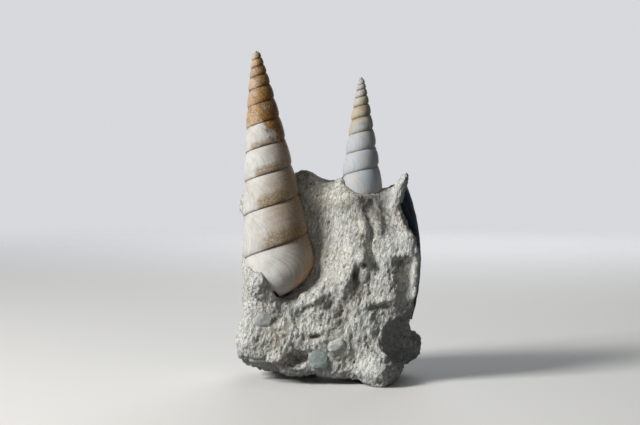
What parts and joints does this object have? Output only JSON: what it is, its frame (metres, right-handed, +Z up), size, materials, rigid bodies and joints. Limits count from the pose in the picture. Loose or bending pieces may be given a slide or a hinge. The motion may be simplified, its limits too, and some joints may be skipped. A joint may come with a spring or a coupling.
{
  "type": "fossil sea snail shell",
  "caption": "Fossil turret snail shells, one large and one small, standing in their rough block of pale sediment with a dark bivalve valve on one flank.",
  "frame": {"origin": "centre of the whole specimen's footprint, on the surface it stands on", "axes": "+Z up, along the shells; -Y towards the viewer, the side on which the shells are exposed; +X to the right of the front, the dark valve's side"},
  "size_m": [0.0744, 0.0536, 0.1299],
  "materials": {
    "matrix": "matt, chalky",
    "large_shell": "satin",
    "small_shell": "satin",
    "valve": "glossy",
    "chips": "satin"
  },
  "bodies": {
    "root": {"matrix": "matrix", "large_turret_shell": "large_shell", "small_turret_shell": "small_shell", "bivalve_valve": "valve", "grey_chip": "chips", "side_chip": "chips", "pale_chip": "chips"}
  },
  "joints": []
}
